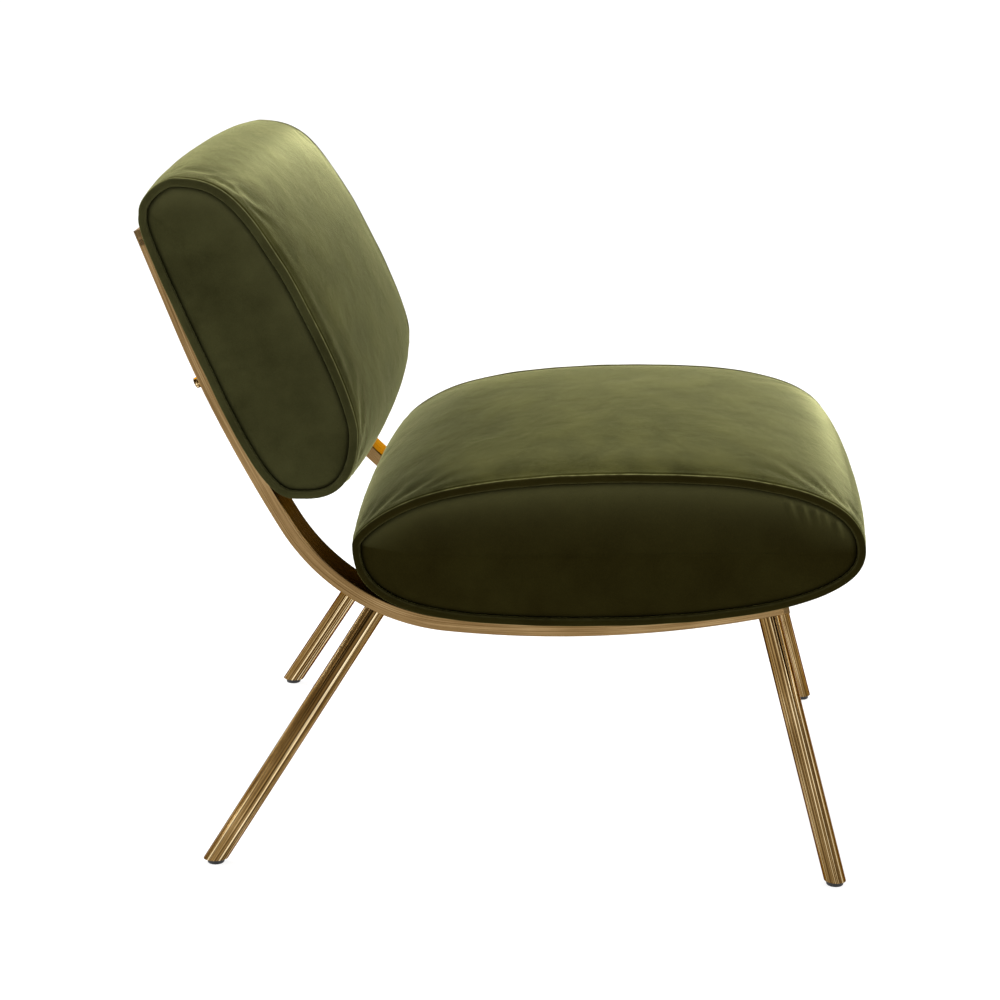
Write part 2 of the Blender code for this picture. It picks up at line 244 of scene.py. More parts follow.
def metal(name, tones, rough, streak, wear, rim):
    """Plated metal: streaks along the grain in its colour and gloss, cloudy ageing, a dark rim; on
    the polished brass the streaks run from near black to near white, as painted reflections.
    """
    made = bpy.data.materials.new(name)
    made.use_nodes = True
    nodes = made.node_tree.nodes
    links = made.node_tree.links
    shader = nodes["Principled BSDF"]
    shader.inputs["Metallic"].default_value = 1.0
    shader.inputs["Specular Tint"].default_value = (*rim, 1)
    grain = nodes.new("ShaderNodeAttribute")
    grain.attribute_name = "grain"
    lines = nodes.new("ShaderNodeTexNoise")
    lines.inputs["Scale"].default_value = streak
    lines.inputs["Detail"].default_value = 3
    lines.inputs["Roughness"].default_value = 0.6
    links.new(grain.outputs["Vector"], lines.inputs["Vector"])
    place = nodes.new("ShaderNodeTexCoord")
    clouds = nodes.new("ShaderNodeTexNoise")
    clouds.inputs["Scale"].default_value = 14
    clouds.inputs["Detail"].default_value = 4
    links.new(place.outputs["Object"], clouds.inputs["Vector"])
    both = nodes.new("ShaderNodeMath")
    both.operation = "MULTIPLY_ADD"
    both.inputs[1].default_value = wear
    links.new(clouds.outputs["Fac"], both.inputs[0])
    links.new(lines.outputs["Fac"], both.inputs[2])
    spread = nodes.new("ShaderNodeMapRange")
    spread.inputs["From Min"].default_value = 0.30 + 0.5 * wear
    spread.inputs["From Max"].default_value = 0.70 + 0.5 * wear
    links.new(both.outputs["Value"], spread.inputs["Value"])
    tone = nodes.new("ShaderNodeValToRGB")
    stops = tone.color_ramp.elements
    while len(stops) < len(tones):
        stops.new(1.0)
    for stop, (place_on, colour) in zip(stops, tones):
        stop.position = place_on
        stop.color = (*colour, 1)
    links.new(spread.outputs["Result"], tone.inputs["Fac"])
    links.new(tone.outputs["Color"], shader.inputs["Base Color"])
    gloss = nodes.new("ShaderNodeMapRange")
    gloss.inputs["To Min"].default_value = rough[1]
    gloss.inputs["To Max"].default_value = rough[0]
    links.new(spread.outputs["Result"], gloss.inputs["Value"])
    links.new(gloss.outputs["Result"], shader.inputs["Roughness"])
    bump = nodes.new("ShaderNodeBump")
    bump.inputs["Strength"].default_value = 0.12
    bump.inputs["Distance"].default_value = 0.0002
    links.new(lines.outputs["Fac"], bump.inputs["Height"])
    links.new(bump.outputs["Normal"], shader.inputs["Normal"])
    return made


BRUSHED = metal(
    "brushed_brass",
    tones=((0.0, (0.14, 0.080, 0.029)), (0.35, (0.200, 0.122, 0.048)),
           (0.65, (0.265, 0.168, 0.072)), (1.0, (0.40, 0.275, 0.135))),
    rough=(0.20, 0.32), streak=1400, wear=0.35, rim=(0.55, 0.36, 0.18),
)

for side, label in SIDES:
    bm = bmesh.new()
    bmesh.ops.create_grid(bm, x_segments=1, y_segments=1, size=0.5)
    bmesh.ops.scale(bm, vec=(RAIL_WIDTH, RAIL_THICK, 1), verts=bm.verts)
    bmesh.ops.translate(bm, vec=(side * RAIL_X, RAIL_THICK / 2, 0), verts=bm.verts)
    bmesh.ops.bevel(
        bm, geom=bm.verts[:], offset=RAIL_EDGE, affect="VERTICES", segments=4,
        profile=0.5, material=-1,
    )
    upright = rail_place(0) @ Matrix.Rotation(pi / 2, 4, "X")
    bmesh.ops.transform(bm, matrix=upright, verts=bm.verts)
    front = bm.faces[:] + bm.edges[:] + bm.verts[:]
    done = 0.0
    for length, turn, steps in RAIL_BENDS:
        start = rail_place(done)
        if turn:
            centre = start @ Vector((0, 0, length / turn))
            swept = bmesh.ops.spin(
                bm, geom=front, cent=centre, axis=(1, 0, 0), dvec=(0, 0, 0),
                angle=-turn, steps=steps, use_duplicate=False,
            )
            front = swept["geom_last"]
        else:
            for _ in range(steps):
                moved = bmesh.ops.extrude_face_region(
                    bm, geom=[item for item in front if isinstance(item, bmesh.types.BMFace)]
                )["geom"]
                step = start.to_3x3() @ Vector((0, -length / steps, 0))
                corners = [item for item in moved if isinstance(item, bmesh.types.BMVert)]
                bmesh.ops.translate(bm, vec=step, verts=corners)
                front = moved
        done += length
    rail = finish_piece(f"rail_{label}", bm, BRUSHED)
    even_flats(rail)
    keep_grain(rail, lambda co: (co.x, on_rail(co)[1], on_rail(co)[0] * GRAIN_ALONG_RAIL))
    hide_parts(f"side_rail_{label}")

# ---------------------------------------------------------------- crossbars
# Three flat bars between the rails: one behind the back cushion and two under the seat.
# They are the same steel, welded at both ends to the rails' inner edges.

BAR_WELD = 0.0004                       # each bar's ends reach this much further, into the weld
BAR_EDGE = 0.0014

for label in ("back", "seat_rear", "seat_front"):
    bm = bmesh.new()
    bm.from_mesh(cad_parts[f"crossbar_{label}"].data)
    bmesh.ops.remove_doubles(bm, verts=bm.verts, dist=0.00001)
    bmesh.ops.dissolve_limit(bm, angle_limit=radians(0.5), verts=bm.verts, edges=bm.edges)
    for vertex in bm.verts:
        vertex.co.x += BAR_WELD if vertex.co.x > 0 else -BAR_WELD
    sharp = [edge for edge in bm.edges if edge.calc_face_angle(0) > radians(40)]
    bmesh.ops.bevel(
        bm, geom=sharp, offset=BAR_EDGE, affect="EDGES", segments=3, profile=0.5, material=-1,
    )
    bar = finish_piece(f"bar_{label}", bm, BRUSHED)
    even_flats(bar)
    keep_grain(bar, lambda co: (co.y, co.z, co.x * GRAIN_ALONG_RAIL))
    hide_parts(f"crossbar_{label}")

# ---------------------------------------------------------------- legs
# Four round tubes, 22 mm across with 1.5 mm walls, polished and brass plated. Each is
# cut to the rail's underside and welded there, splays outwards, and ends cut level.

LEG_RADIUS = 0.011
LEG_WALL = 0.0015
LEG_FOOT_X = 0.292
LEG_END = 0.005
LEG_BORE = 0.012                        # how far up the open end is hollow
LEG_WELD = 0.0008                       # how far the tube's top end reaches past the rail's face
LEG_EDGE = 0.0003
GRAIN_ALONG_LEG = 0.002
LEGS = {"front": ((-0.2741, 0.2818), -0.3546), "rear": ((0.1249, 0.2758), 0.2954)}

# Polished brass whose colour runs in streaks from near black to near white along the grain: painted
# dark and bright reflections, over the real reflections of the room.
POLISHED_PAINTED_REFLECTIONS = metal(
    "polished_brass",
    tones=((0.0, (0.02, 0.008, 0.001)), (0.33, (0.05, 0.023, 0.004)),
           (0.45, (0.155, 0.088, 0.027)), (0.60, (0.225, 0.136, 0.047)),
           (0.70, (0.46, 0.31, 0.135)), (0.84, (0.95, 0.80, 0.52))),
    rough=(0.06, 0.14), streak=900, wear=0.12, rim=(0.30, 0.17, 0.06),
)

GLIDE_PLACES = {}
for side, label in SIDES:
    for end, ((top_y, top_z), foot_y) in LEGS.items():
        foot = Vector((side * LEG_FOOT_X, foot_y, 0))
        top = Vector((side * RAIL_X, top_y, top_z))
        along = top - foot
        place = Matrix.Translation(foot) @ along.to_track_quat("Z", "X").to_matrix().to_4x4()
        bm = bmesh.new()
        bmesh.ops.create_cone(
            bm, cap_ends=False, segments=96, radius1=LEG_RADIUS, radius2=LEG_RADIUS,
            depth=2.4 * along.length, matrix=place,
        )
        weld = rail_place(on_rail(top)[0], side * RAIL_X)
        for point, way in (
            (weld @ Vector((0, 0, LEG_WELD)), weld.to_3x3() @ Vector((0, 0, 1))),
            (Vector((0, 0, LEG_END)), Vector((0, 0, -1))),
        ):
            bmesh.ops.bisect_plane(
                bm, geom=bm.verts[:] + bm.edges[:] + bm.faces[:], plane_co=point,
                plane_no=way, clear_outer=True,
            )
        rims = [edge for edge in bm.edges if edge.is_boundary]
        caps = bmesh.ops.holes_fill(bm, edges=rims, sides=0)["faces"]
        under = min(caps, key=lambda face: face.calc_center_median().z)
        bmesh.ops.recalc_face_normals(bm, faces=bm.faces)
        bmesh.ops.inset_region(bm, faces=[under], thickness=LEG_WALL, use_even_offset=True)
        bore = bmesh.ops.extrude_face_region(bm, geom=[under])["geom"]
        up = place.to_3x3() @ Vector((0, 0, LEG_BORE))
        floor_of_bore = [item for item in bore if isinstance(item, bmesh.types.BMVert)]
        bmesh.ops.translate(bm, vec=up, verts=floor_of_bore)
        rim = [edge for edge in bm.edges
               if abs(edge.calc_face_angle(0)) > radians(40)
               and max(vertex.co.z for vertex in edge.verts) < LEG_END + 0.0001]
        bmesh.ops.bevel(
            bm, geom=rim, offset=LEG_EDGE, affect="EDGES", segments=2, profile=0.5, material=-1,
        )
        leg = finish_piece(f"tube_leg_{end}_{label}", bm, POLISHED_PAINTED_REFLECTIONS)
        leg.data.set_sharp_from_angle(angle=radians(35))
        back = place.inverted()
        keep_grain(leg, lambda co: (*(back @ co).xy, (back @ co).z * GRAIN_ALONG_LEG))
        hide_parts(f"leg_{end}_{label}")
        GLIDE_PLACES[f"{end}_{label}"] = foot + along * (LEG_END / top_z)

# ---------------------------------------------------------------- glides
# A moulded black nylon plug in each leg's end, with a foot a little narrower than the
# tube and a rounded rim on the floor.

GLIDE_PROFILE = (                       # radius, height
    (0.0, 0.012), (0.0078, 0.012), (0.0081, 0.0114), (0.0081, 0.0052), (0.0090, 0.0049),
    (0.0090, 0.0016), (0.0088, 0.0008), (0.0083, 0.0002), (0.0075, 0.0), (0.0, 0.0),
)


def moulded(name, colour, rough, grain_scale):
    """Plain material with a fine grain in its colour, its gloss and its surface."""
    made = bpy.data.materials.new(name)
    made.use_nodes = True
    nodes = made.node_tree.nodes
    links = made.node_tree.links
    shader = nodes["Principled BSDF"]
    place = nodes.new("ShaderNodeTexCoord")
    spark = nodes.new("ShaderNodeTexNoise")
    spark.inputs["Scale"].default_value = grain_scale
    spark.inputs["Detail"].default_value = 3
    links.new(place.outputs["Object"], spark.inputs["Vector"])
    tone = nodes.new("ShaderNodeMix")
    tone.data_type = "RGBA"
    tone.inputs["A"].default_value = (*(0.6 * part for part in colour), 1)
    tone.inputs["B"].default_value = (*(1.5 * part for part in colour), 1)
    links.new(spark.outputs["Fac"], tone.inputs["Factor"])
    links.new(tone.outputs["Result"], shader.inputs["Base Color"])
    gloss = nodes.new("ShaderNodeMapRange")
    gloss.inputs["To Min"].default_value = rough - 0.1
    gloss.inputs["To Max"].default_value = rough + 0.1
    links.new(spark.outputs["Fac"], gloss.inputs["Value"])
    links.new(gloss.outputs["Result"], shader.inputs["Roughness"])
    bump = nodes.new("ShaderNodeBump")
    bump.inputs["Strength"].default_value = 0.3
    bump.inputs["Distance"].default_value = 0.0002
    links.new(spark.outputs["Fac"], bump.inputs["Height"])
    links.new(bump.outputs["Normal"], shader.inputs["Normal"])
    return made


def turned(name, profile, place, paint, steps=48):
    """Piece turned about its frame's Z axis from (radius, height) points."""
    shape = bmesh.new()
    corners = [shape.verts.new((radius, 0, height)) for radius, height in profile]
    for start, end in zip(corners, corners[1:]):
        shape.edges.new((start, end))
    bmesh.ops.spin(
        shape, geom=shape.verts[:] + shape.edges[:], cent=(0, 0, 0), axis=(0, 0, 1),
        dvec=(0, 0, 0), angle=2 * pi, steps=steps, use_merge=True,
    )
    bmesh.ops.transform(shape, matrix=place, verts=shape.verts)
    return finish_piece(name, shape, paint)


NYLON = moulded("black_nylon", (0.004, 0.004, 0.004), rough=0.5, grain_scale=900)

for name, spot in GLIDE_PLACES.items():
    glide = turned(f"foot_{name}", GLIDE_PROFILE, Matrix.Translation((spot.x, spot.y, 0)), NYLON)
    glide.data.set_sharp_from_angle(angle=radians(50))
    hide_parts(f"glide_{name}")

# ---------------------------------------------------------------- boards and tee nuts
# Inside each cushion a 12 mm birch plywood board takes the bolts, which screw into
# zinc-plated steel tee nuts pressed into it. Both are hidden by the covers.

PLYWOOD = moulded("birch_plywood", (0.50, 0.35, 0.20), rough=0.7, grain_scale=60)
ZINC = moulded("zinc_steel", (0.45, 0.45, 0.47), rough=0.4, grain_scale=300)
ZINC.node_tree.nodes["Principled BSDF"].inputs["Metallic"].default_value = 1.0
for name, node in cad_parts.items():
    paint = PLYWOOD if name.endswith("_board") else ZINC if name.startswith("tee_nut") else None
    if paint:
        node.data.materials.clear()
        node.data.materials.append(paint)

# ---------------------------------------------------------------- cushion covers
# Seat and back are foam blocks wrapped in one long band of olive velvet. The band is
# sewn to a side panel at each end, and dips into the seam where the piping stands up.

SEAT_KNOTS = (                          # y, z, heading, handle behind, handle ahead; mm
    (-181.1, 428.5, 180, 45, 68),
    (-369.1, 352, 270, 68, 70),
    (-41.1, 265, 0, 118, 100),
    (150.9, 345, 90, 74, 15),
    (88.9, 395, 158, 28, 86),
)
BACK_KNOTS = (
    (323.9, 715, 180, 18, 50),
    (215.9, 628, 237, 76, 12),
    (143.9, 460, 270, 40, 12),
    (198.9, 391.5, 0, 56, 20),
    (288.9, 496.5, 65, 124, 200),
    (361.9, 680, 90, 14, 14),
)
COVER_LEVEL = 0.0154                    # the covers rest this high over the rails' outer face
REST_BEYOND = 0.06                      # how far past the rail's ends a cover still leans on it
BAND = (                                # across the half width: x, depth under the piping's rim
    (0.0000, -0.0095), (0.0120, -0.0095), (0.0240, -0.0095), (0.0360, -0.0094), (0.0480, -0.0094),
    (0.0600, -0.0093), (0.0720, -0.0091), (0.0840, -0.0089), (0.0960, -0.0087), (0.1080, -0.0085),
    (0.1200, -0.0082), (0.1320, -0.0079), (0.1440, -0.0075), (0.1560, -0.0070), (0.1680, -0.0066),
    (0.1800, -0.0060), (0.1920, -0.0055), (0.2040, -0.0048), (0.2160, -0.0041), (0.2280, -0.0034),
    (0.2360, -0.0028), (0.2420, -0.0024), (0.2480, -0.0019), (0.2535, -0.0014), (0.2585, -0.0009),
    (0.2630, -0.0004), (0.2665, 0.0001), (0.2690, 0.0005), (0.2707, 0.0019), (0.2716, 0.0034),
    (0.2716, 0.0140),
)


def outline(knots, count):
    """Closed outline in the side plane, points at equal distances along it."""
    fine = []
    for knot, after in zip(knots, knots[1:] + knots[:1]):
        start, end = Vector(knot[:2]), Vector(after[:2])
        ahead = Vector((cos(radians(knot[2])), sin(radians(knot[2])))) * knot[4]
        behind = Vector((cos(radians(after[2])), sin(radians(after[2])))) * after[3]
        fine += interpolate_bezier(start, start + ahead, end - behind, end, 96)[:-1]
    fine = [Vector((point.x, point.y)) / 1000 for point in fine]
    lengths = [(b - a).length for a, b in zip(fine, fine[1:] + fine[:1])]
    spacing = sum(lengths) / count
    found = []
    travelled = 0.0
    for start, end, length in zip(fine, fine[1:] + fine[:1], lengths):
        while len(found) * spacing < travelled + length and len(found) < count:
            found.append(start.lerp(end, (len(found) * spacing - travelled) / length))
        travelled += length
    return found


def inwards(line):
    """The direction into the cushion at each point of an outline."""
    around = zip(line[1:] + line[:1], line[-1:] + line[:-1])
    return [
        Vector((before.y - after.y, after.x - before.x)).normalized() for after, before in around
    ]


def rested(point):
    """A point in the side plane, lifted to the rail's cushion face if it lies below it."""
    distance, level = on_rail((0, *point))
    past = max(0.0, -distance, distance - RAIL_LENGTH)
    lowest = COVER_LEVEL - 0.2 * max(0.0, past - 0.006)
    if level >= lowest or past > REST_BEYOND:
        return point
    place = rail_place(min(max(distance, 0.0), RAIL_LENGTH)).to_3x3()
    lift = place @ Vector((0, 0, lowest - level))
    return Vector((point.x + lift.y, point.y + lift.z))


def lofted(rings, joined=False):
    """Surface through closed rings of equal counts; its ends filled, or joined in a loop."""
    shape = bmesh.new()
    ring = bmesh.ops.create_circle(shape, cap_ends=False, radius=1, segments=len(rings[0]))["verts"]
    first = ring
    for vertex, point in zip(ring, rings[0]):
        vertex.co = point
    for points in rings[1:]:
        edges = [shape.edges.get(pair) for pair in zip(ring, ring[1:] + ring[:1])]
        made = bmesh.ops.extrude_edge_only(shape, edges=edges)["geom"]
        fresh = {item for item in made if isinstance(item, bmesh.types.BMVert)}
        ring = [
            next(edge.other_vert(vertex) for edge in vertex.link_edges
                 if edge.other_vert(vertex) in fresh)
            for vertex in ring
        ]
        for vertex, point in zip(ring, points):
            vertex.co = point
    ends = [
        [shape.edges.get(pair) for pair in zip(loop, loop[1:] + loop[:1])] for loop in (first, ring)
    ]
    if joined:
        bmesh.ops.bridge_loops(shape, edges=ends[0] + ends[1])
    else:
        for edges in ends:
            bmesh.ops.edgeloop_fill(shape, edges=edges)
    return shape


def paint_highlight(piece, amounts):
    """Store how strong the painted highlight is at each point, from 0 to 1."""
    painted_highlight = piece.data.attributes.new("painted_highlight", "FLOAT", "POINT")
    for value, amount in zip(painted_highlight.data, amounts):
        value.value = amount


def velvet(name, dark, light, painted_highlight, bloom, sheen, mottle):
    """Cut-pile velvet: dark down in the pile, pale at grazing angles, and mixed towards a pale
    painted-highlight colour by a stored attribute.
    """
    made = bpy.data.materials.new(name)
    made.use_nodes = True
    nodes = made.node_tree.nodes
    links = made.node_tree.links
    shader = nodes["Principled BSDF"]
    shader.inputs["Roughness"].default_value = 0.85
    shader.inputs["Specular IOR Level"].default_value = 0.0
    shader.inputs["Sheen Weight"].default_value = bloom
    shader.inputs["Sheen Roughness"].default_value = 0.25
    shader.inputs["Sheen Tint"].default_value = (*sheen, 1)
    place = nodes.new("ShaderNodeTexCoord")
    stretch = nodes.new("ShaderNodeMapping")
    stretch.inputs["Scale"].default_value = (1.0, 1.6, 1.6)
    links.new(place.outputs["Object"], stretch.inputs["Vector"])
    strokes = nodes.new("ShaderNodeTexNoise")
    strokes.inputs["Scale"].default_value = 13
    strokes.inputs["Detail"].default_value = 4
    strokes.inputs["Roughness"].default_value = 0.55
    strokes.inputs["Distortion"].default_value = 0.15
    links.new(stretch.outputs["Vector"], strokes.inputs["Vector"])
    pile = nodes.new("ShaderNodeTexNoise")
    pile.inputs["Scale"].default_value = 900
    pile.inputs["Detail"].default_value = 3
    links.new(place.outputs["Object"], pile.inputs["Vector"])
    both = nodes.new("ShaderNodeMath")
    both.operation = "MULTIPLY_ADD"
    both.inputs[1].default_value = 0.35
    links.new(pile.outputs["Fac"], both.inputs[0])
    links.new(strokes.outputs["Fac"], both.inputs[2])
    spread = nodes.new("ShaderNodeMapRange")
    spread.inputs["From Min"].default_value = 0.675 - mottle
    spread.inputs["From Max"].default_value = 0.675 + mottle
    links.new(both.outputs["Value"], spread.inputs["Value"])
    tone = nodes.new("ShaderNodeMix")
    tone.data_type = "RGBA"
    tone.inputs["A"].default_value = (*dark, 1)
    tone.inputs["B"].default_value = (*light, 1)
    links.new(spread.outputs["Result"], tone.inputs["Factor"])
    # A stored attribute mixes a pale colour into the base: painted highlight standing in for light
    # on panel tops, fold ridges and piping crests.
    flat = nodes.new("ShaderNodeAttribute")
    flat.attribute_name = "painted_highlight"
    highlight_mix = nodes.new("ShaderNodeMix")
    highlight_mix.data_type = "RGBA"
    highlight_mix.inputs["B"].default_value = (*painted_highlight, 1)
    links.new(flat.outputs["Fac"], highlight_mix.inputs["Factor"])
    links.new(tone.outputs["Result"], highlight_mix.inputs["A"])
    links.new(highlight_mix.outputs["Result"], shader.inputs["Base Color"])
    bump = nodes.new("ShaderNodeBump")
    bump.inputs["Strength"].default_value = 0.45
    bump.inputs["Distance"].default_value = 0.0006
    links.new(pile.outputs["Fac"], bump.inputs["Height"])
    nap = nodes.new("ShaderNodeBump")
    nap.inputs["Strength"].default_value = 0.14
    nap.inputs["Distance"].default_value = 0.01
    links.new(strokes.outputs["Fac"], nap.inputs["Height"])
    links.new(bump.outputs["Normal"], nap.inputs["Normal"])
    links.new(nap.outputs["Normal"], shader.inputs["Normal"])
    return made


VELVET = velvet(
    "olive_velvet", dark=(0.018, 0.0172, 0.0040), light=(0.052, 0.0495, 0.0135),
    painted_highlight=(0.20, 0.198, 0.095), bloom=1.0, sheen=(0.70, 0.70, 0.34), mottle=0.24,
)
SETTLE_FRAMES = 15
CLOTH_MASS = 0.35


def settled(piece, held, push, spare, most):
    """Let a cover settle over its filling as cloth, held where it is sewn and where it rests.

    It is blown out with the pressure push, is cut larger by the share spare, and moves no
    point further than most.
    """
    scene = bpy.context.scene
    cut = [vertex.co.copy() for vertex in piece.data.vertices]
    pins = piece.vertex_groups.new(name="held")
    for number, hold in enumerate(held):
        pins.add([number], hold, "REPLACE")
    cloth = piece.modifiers.new("cloth", "CLOTH")
    cloth.settings.vertex_group_mass = "held"
    cloth.settings.pin_stiffness = 1.0
    cloth.settings.mass = CLOTH_MASS
    cloth.settings.shrink_min = -spare
    cloth.settings.use_pressure = True
    cloth.settings.uniform_pressure_force = push
    cloth.settings.effector_weights.gravity = 0.0
    cloth.collision_settings.use_collision = False
    for step in range(1, SETTLE_FRAMES + 1):
        scene.frame_set(step)
    filled = piece.evaluated_get(bpy.context.evaluated_depsgraph_get()).data
    ends = [vertex.co.copy() for vertex in filled.vertices]
    piece.modifiers.remove(cloth)
    piece.vertex_groups.remove(pins)
    scene.frame_set(1)
    for vertex, start, end in zip(piece.data.vertices, cut, ends):
        shift = end - start
        if shift.length > most:
            shift *= most / shift.length
        moved = start + shift
        vertex.co = (moved.x, *rested(moved.yz))
    piece.data.update()


CUSHIONS = {"seat": SEAT_KNOTS, "back": BACK_KNOTS}
BAND_POINTS = 260
SEWN_FROM = 0.262                       # the band is held fast from here out to its seam
FREE_HOLD = 0.12                        # how firmly the rest of it is held
NEAR_RAIL = 0.003
for cushion, knots in CUSHIONS.items():
    line = outline(knots, BAND_POINTS)
    inward = inwards(line)
    rings = []
    for x, depth in [(-x, depth) for x, depth in reversed(BAND[1:])] + list(BAND):
        ring = [point + way * depth for point, way in zip(line, inward)]
        rings.append([Vector((x, *rested(point))) for point in ring])
    cover = finish_piece(f"{cushion}_band", lofted(rings), VELVET)
    held = [
        FREE_HOLD
        if abs(vertex.co.x) <= SEWN_FROM and on_rail(vertex.co)[1] > COVER_LEVEL + NEAR_RAIL
        else 1.0
        for vertex in cover.data.vertices
    ]
    settled(cover, held, push=2.0, spare=0.0008, most=0.003)
    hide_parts(f"{cushion}_cover", f"{cushion}_foam")

# ---------------------------------------------------------------- side panels
# Each end of a cushion is closed with a velvet panel over thin wadding. The panel is drawn into the
# seam all round, and a few short folds gather at the seat's front corner.
# A painted highlight lies in a strip under each panel's upper edge, where light from above falls,
# and on the folds' ridges.

SPINES = {                              # the middle line that a panel's rings close on
    "seat": (Vector((-0.295, 0.350)), Vector((0.076, 0.338))),
    "back": (Vector((0.298, 0.645)), Vector((0.203, 0.462))),
}
PANEL_EDGE = 0.0092                     # the seam's distance from the piping's outer rim
PANEL_UNDER = 0.005                     # how far the panel's edge goes on under the piping
PANEL_REACH = 0.0725                    # the depth, in the list below, that is the middle line
PANEL_POINTS = 640
PANEL_DEPTHS = (
    0.0, 0.0006, 0.0013, 0.0022, 0.0033, 0.0046, 0.0062, 0.0080, 0.0100, 0.0122, 0.0146,
    0.0172, 0.0200, 0.0235, 0.028, 0.034, 0.042, 0.052, 0.062, 0.070,
)
FOLDS = (                               # y, z of a fold's start at the seam, length, height
    (-0.292, 0.4035, 0.022, 0.0026),
    (-0.305, 0.4005, 0.024, 0.0029),
    (-0.318, 0.3960, 0.020, 0.0028),
    (-0.327, 0.3920, 0.018, 0.0025),
    (-0.340, 0.3840, 0.020, 0.0034),
)
FOLD_Y, FOLD_Z = -0.36, -0.93           # the way the folds run, down and to the front


def folded(y, z):
    """How far the short folds lift the seat's side panel at a point."""
    lift = 0.0
    for fold_y, fold_z, length, height in FOLDS:
        along = (y - fold_y) * FOLD_Y + (z - fold_z) * FOLD_Z
        across = (y - fold_y) * FOLD_Z - (z - fold_z) * FOLD_Y
        fade = max(0.0, min(1.0, (along + 0.004) / 0.004)) * max(0.0, 1 - along / length)
        ridge = exp(-(across / 0.0028) ** 2) - 0.9 * exp(-((across + 0.0050) / 0.0026) ** 2)
        lift += height * fade * ridge
    return lift


LIT_AND_SHADED_ENDS = {                                # velvet tones for the panels and piping of each cushion: lit and shaded copies of the band's velvet with less sheen, the seat's painted darker as shade, the back's lighter as light from above falls
    "seat": velvet(
        "olive_velvet_seat_ends_shaded", dark=(0.013, 0.0102, 0.0022), light=(0.021, 0.0178, 0.0040),
        painted_highlight=(0.17, 0.165, 0.065), bloom=0.40, sheen=(0.42, 0.42, 0.13), mottle=0.30,
    ),
    "back": velvet(
        "olive_velvet_back_ends_lit", dark=(0.026, 0.0250, 0.0085), light=(0.050, 0.0490, 0.0180),
        painted_highlight=(0.17, 0.165, 0.070), bloom=0.60, sheen=(0.42, 0.42, 0.17), mottle=0.26,
    ),
}


def puffed(cushion, side, depth, spot):
    """How far out a side panel stands at a point this deep inside its seam."""
    out = 0.2722 + 0.0042 * (1 - exp(-depth / 0.0034))
    out += 0.0085 * (1 - exp(-depth / 0.030))
    ripple = noise.noise(Vector((spot.x * 55, spot.y * 55, side * 3.0)))
    out += 0.0005 * ripple * (1 - exp(-depth / 0.004))
    if cushion == "seat":
        out += folded(*spot)
    return out


def highlight_share(cushion, depth, way, corner):
    """How much painted highlight a panel carries: a strip under its upper edge, where light from
    above falls, and the ridges of its folds.
    """
    strip = 0.40 * max(0.0, -way.y) * exp(-depth / 0.017) * (1 - exp(-depth / 0.0015))
    return strip + (45 * max(0.0, folded(*corner.yz)) if cushion == "seat" else 0.0)


for cushion, knots in CUSHIONS.items():
    line = outline(knots, PANEL_POINTS)
    inward = inwards(line)
    seam = [point + way * PANEL_EDGE for point, way in zip(line, inward)]
    first, last = SPINES[cushion]
    spine = last - first
    for side, label in SIDES:
        rings = [
            [
                Vector((side * x, *(point - way * PANEL_UNDER)))
                for point, way in zip(seam, inward)
            ]
            for x in (0.2704, 0.2712)
        ]
        # Painted highlight amounts for the panel's points, the two rings under the piping first.
        painted_highlight = [0.0] * (2 * PANEL_POINTS)
        for depth in PANEL_DEPTHS:
            ring = []
            for point in seam:
                share = max(0.0, min(1.0, (point - first).dot(spine) / spine.length_squared))
                middle = first + spine * share
                reach = (middle - point).length
                spot = point.lerp(middle, depth / PANEL_REACH)
                out = puffed(cushion, side, reach * depth / PANEL_REACH, spot)
                ring.append(Vector((side * out, *spot)))
            rings.append(ring)
            painted_highlight += [
                highlight_share(cushion, depth, way, corner) for way, corner in zip(inward, ring)
            ]
        panel = finish_piece(f"{cushion}_end_{label}", lofted(rings), LIT_AND_SHADED_ENDS[cushion])
        paint_highlight(panel, painted_highlight)
        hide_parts(f"{cushion}_side_panel_{label}")

# ---------------------------------------------------------------- piping
# A cord in a folded velvet strip, sewn into the seam between band and panel all the way
# round. It is pressed a little flat, and a painted highlight runs along its crest, with a faint one
# on its inner ridge.

PIPING_POINTS = 480
PIPING_WANDER = 0.0005                  # the sewing wanders this much
PIPING = (                              # x, depth and painted highlight round the cord's section
    (0.2714, 0.0032, 0.0), (0.2722, 0.0016, 0.0), (0.2737, 0.0007, 0.25), (0.2750, 0.0003, 1.0),
    (0.2762, 0.0005, 0.8), (0.2774, 0.0010, 0.05), (0.2786, 0.0022, 0.0), (0.2792, 0.0040, 0.0),
    (0.2793, 0.0058, 0.0), (0.2790, 0.0070, 0.02), (0.2784, 0.0079, 0.14), (0.2774, 0.0086, 0.06),
    (0.2760, 0.0090, 0.0), (0.2740, 0.0087, 0.0), (0.2724, 0.0074, 0.0), (0.2714, 0.0054, 0.0),
)
for cushion, knots in CUSHIONS.items():
    line = outline(knots, PIPING_POINTS)
    inward = inwards(line)
    for side, label in SIDES:
        wander = [
            PIPING_WANDER * noise.noise(Vector((point.x * 28, point.y * 28, 5.0 * side)))
            for point in line
        ]
        rings = [
            [
                Vector((side * (x + 0.4 * drift), *(point + way * (depth + drift))))
                for point, way, drift in zip(line, inward, wander)
            ]
            for x, depth, _ in PIPING
        ]
        # How strong the painted highlight along the crest is, varying along the cord.
        highlight_strength = [
            0.75 + 0.5 * noise.noise(Vector((point.x * 160, point.y * 160, side * 9.0)))
            for point in line
        ]
        cord = finish_piece(f"{cushion}_piping_{label}", lofted(rings, joined=True), LIT_AND_SHADED_ENDS[cushion])
        paint_highlight(cord, [amount * share for _, _, amount in PIPING for share in highlight_strength])
        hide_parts(f"{cushion}_welt_{label}")

# ---------------------------------------------------------------- cushion bolts
# Bolts through the rails hold the cushions: one tall cap-head bolt a side at the back, and
# two button-head bolts a side under the seat. The heads are brass plated, with a hexagon socket.

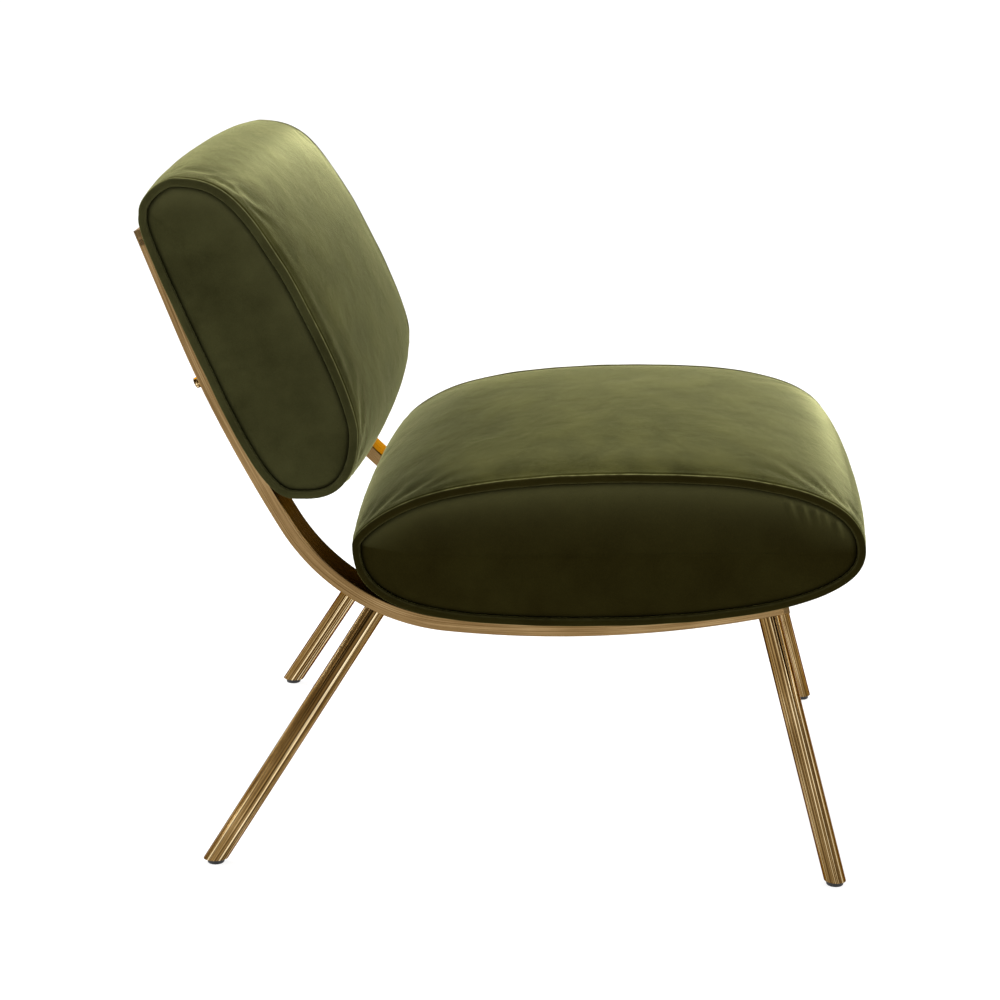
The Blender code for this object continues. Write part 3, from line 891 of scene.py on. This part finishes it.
BOLTS = {"back": 0.166, "seat_rear": 0.625, "seat_front": 0.815}  # distance along the rail
BOLT_POINTS = 48
BUTTON_RINGS = (                        # radius, height under the rail's face, six-sided
    (0.0040, 0.0060, False), (0.0040, -0.0001, False), (0.0076, -0.0001, False),
    (0.0078, 0.0004, False), (0.0076, 0.0014, False), (0.0069, 0.0027, False),
    (0.0057, 0.0037, False), (0.0042, 0.0043, False), (0.0030, 0.0045, True),
    (0.0028, 0.0043, True), (0.0028, 0.0020, True),
)
CAP_RINGS = (
    (0.0040, 0.0060, False), (0.0040, -0.0001, False), (0.0053, -0.0001, False),
    (0.0056, 0.0003, False), (0.0056, 0.0020, False), (0.0054, 0.0023, False),
    (0.0056, 0.0026, False), (0.0056, 0.0085, False), (0.0053, 0.0092, False),
    (0.0046, 0.0095, False), (0.0030, 0.0095, True), (0.0028, 0.0093, True),
    (0.0028, 0.0055, True),
)
for name, distance in BOLTS.items():
    profile = CAP_RINGS if name == "back" else BUTTON_RINGS
    for side, label in SIDES:
        place = rail_place(distance, side * RAIL_X)
        rings = []
        for number, (radius, height, six) in enumerate(profile):
            height = height if number == 0 else -height
            ring = []
            for step in range(BOLT_POINTS):
                angle = 2 * pi * step / BOLT_POINTS
                bend = cos(pi / 6) / cos(angle % (pi / 3) - pi / 6) if six else 1.0
                reach = radius * bend
                ring.append(place @ Vector((reach * cos(angle), reach * sin(angle), height)))
            rings.append(ring)
        # The heads take the polished brass with its painted reflection streaks.
        bolt = finish_piece(f"screw_{name}_{label}", lofted(rings), POLISHED_PAINTED_REFLECTIONS)
        bolt.data.set_sharp_from_angle(angle=radians(35))
        keep_grain(bolt, lambda co: co * 0.3)
        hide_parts(f"bolt_{name}_{label}")

# ---------------------------------------------------------------- dust cover
# A thin black non-woven cloth closes the seat's underside between the rails. Its edges
# are turned under and stapled to the board.

DUST_WIDTH = 0.436
DUST_RUN = (0.585, 0.862)
DUST_LEVEL = 0.0139
DUST_SAG = 0.0010
DUST_THICK = 0.0006

CLOTH = moulded("black_cloth", (0.014, 0.014, 0.015), rough=0.9, grain_scale=1500)
bm = bmesh.new()
bmesh.ops.create_grid(bm, x_segments=80, y_segments=56, size=0.5)
for vertex in bm.verts:
    x = vertex.co.x * DUST_WIDTH
    distance = DUST_RUN[0] + (vertex.co.y + 0.5) * (DUST_RUN[1] - DUST_RUN[0])
    inner = min(0.5 - abs(vertex.co.x), 0.5 - abs(vertex.co.y))
    sag = DUST_SAG * noise.noise(Vector((x * 18, distance * 26, 2))) * min(1.0, inner * 12)
    vertex.co = rail_place(distance, x) @ Vector((0, 0, DUST_LEVEL - abs(sag)))
bmesh.ops.recalc_face_normals(bm, faces=bm.faces)
dust = finish_piece("underside_cloth", bm, CLOTH, tidy=False)
thick = dust.modifiers.new("thickness", "SOLIDIFY")
thick.thickness = DUST_THICK
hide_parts("seat_dust_cover")
